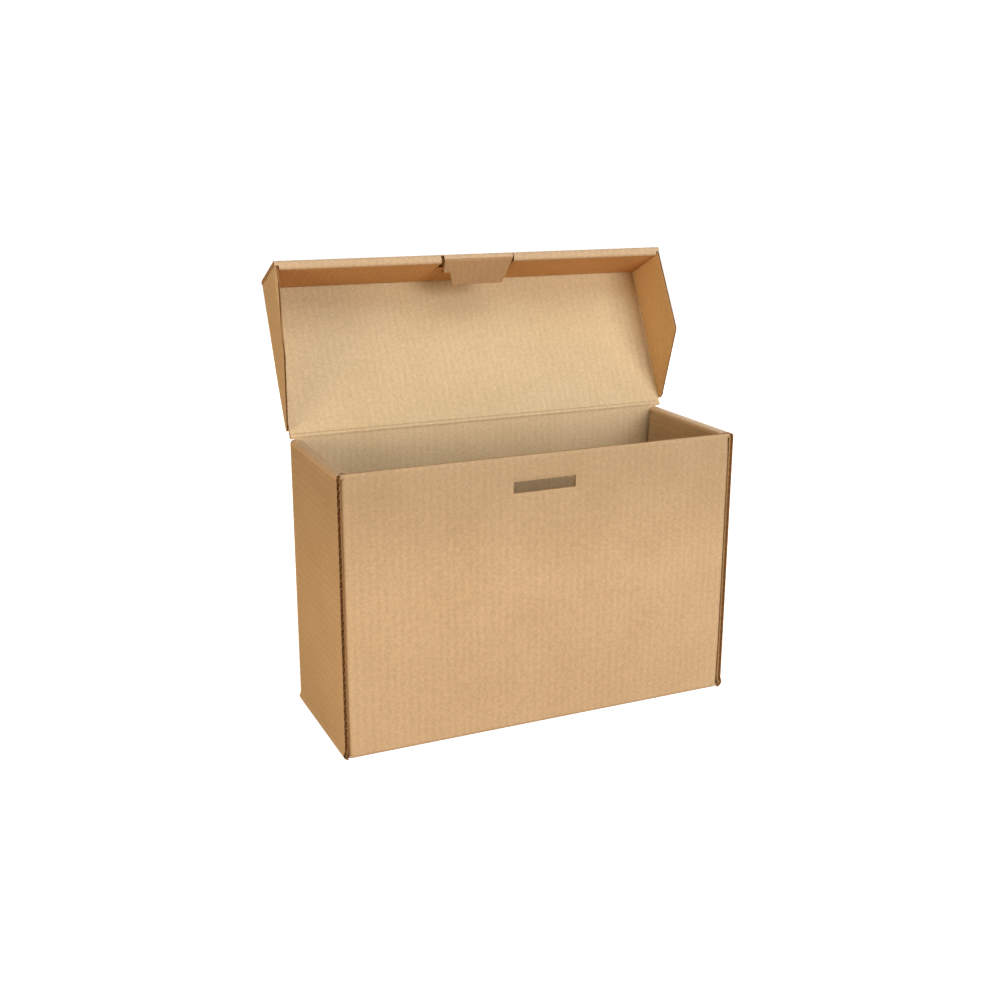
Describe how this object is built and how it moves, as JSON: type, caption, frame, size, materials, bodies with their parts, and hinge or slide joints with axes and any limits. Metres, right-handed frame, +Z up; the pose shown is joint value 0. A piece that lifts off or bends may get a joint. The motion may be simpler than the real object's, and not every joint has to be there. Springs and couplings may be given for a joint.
{
  "type": "archival box",
  "caption": "Corrugated board file box with a hinged tray lid, double side walls, and a spring tab on the lid front for the slot in the front panel.",
  "frame": {"origin": "centre of the box's underside, on the surface that it stands on", "axes": "+X along the box's length to the right, +Y from the front panel to the back panel, +Z up"},
  "size_m": [0.3368, 0.171, 0.3542],
  "materials": {
    "box_board": "matt brown kraft liner over B-flute board",
    "lid_board": "matt brown kraft liner over B-flute board",
    "folded_edge": "matt kraft liner stretched round a scored fold",
    "lock_tab_board": "matt brown kraft liner, creased"
  },
  "bodies": {
    "box": {"bottom_panel": "box_board", "front_panel": "box_board", "back_panel": "box_board", "left_side_outer_wall": "box_board", "left_side_rolled_edge": "folded_edge", "left_side_inner_wall": "box_board", "front_left_dust_flap": "box_board", "back_left_dust_flap": "box_board", "right_side_outer_wall": "box_board", "right_side_rolled_edge": "folded_edge", "right_side_inner_wall": "box_board", "front_right_dust_flap": "box_board", "back_right_dust_flap": "box_board", "lid_hinge_crease": "folded_edge"},
    "lid": {"lid_panel": "lid_board", "lid_front_outer_ply": "lid_board", "lid_front_rolled_edge": "folded_edge", "lid_front_inner_ply": "lid_board", "lid_left_flap": "lid_board", "lid_left_flap_tongue": "lid_board", "lid_right_flap": "lid_board", "lid_right_flap_tongue": "lid_board"},
    "tab": {"lock_tab": "lock_tab_board"}
  },
  "joints": [
    {"name": "lid_hinge", "type": "hinge", "parent": "box", "child": "lid", "pos_m": [0, 0.057, 0.2218], "axis": [-1, 0, 0], "range_deg": [-115.7, 64.3]},
    {"name": "lock_tab_fold", "type": "hinge", "parent": "lid", "child": "tab", "pos_m": [0, 0.0724, 0.34856], "axis": [-1, 0, 0], "range_deg": [-50, 30]}
  ],
  "couplings": [
    {"joint": "lock_tab_fold", "follows": "lid_hinge", "ratio": 0.43215}
  ]
}
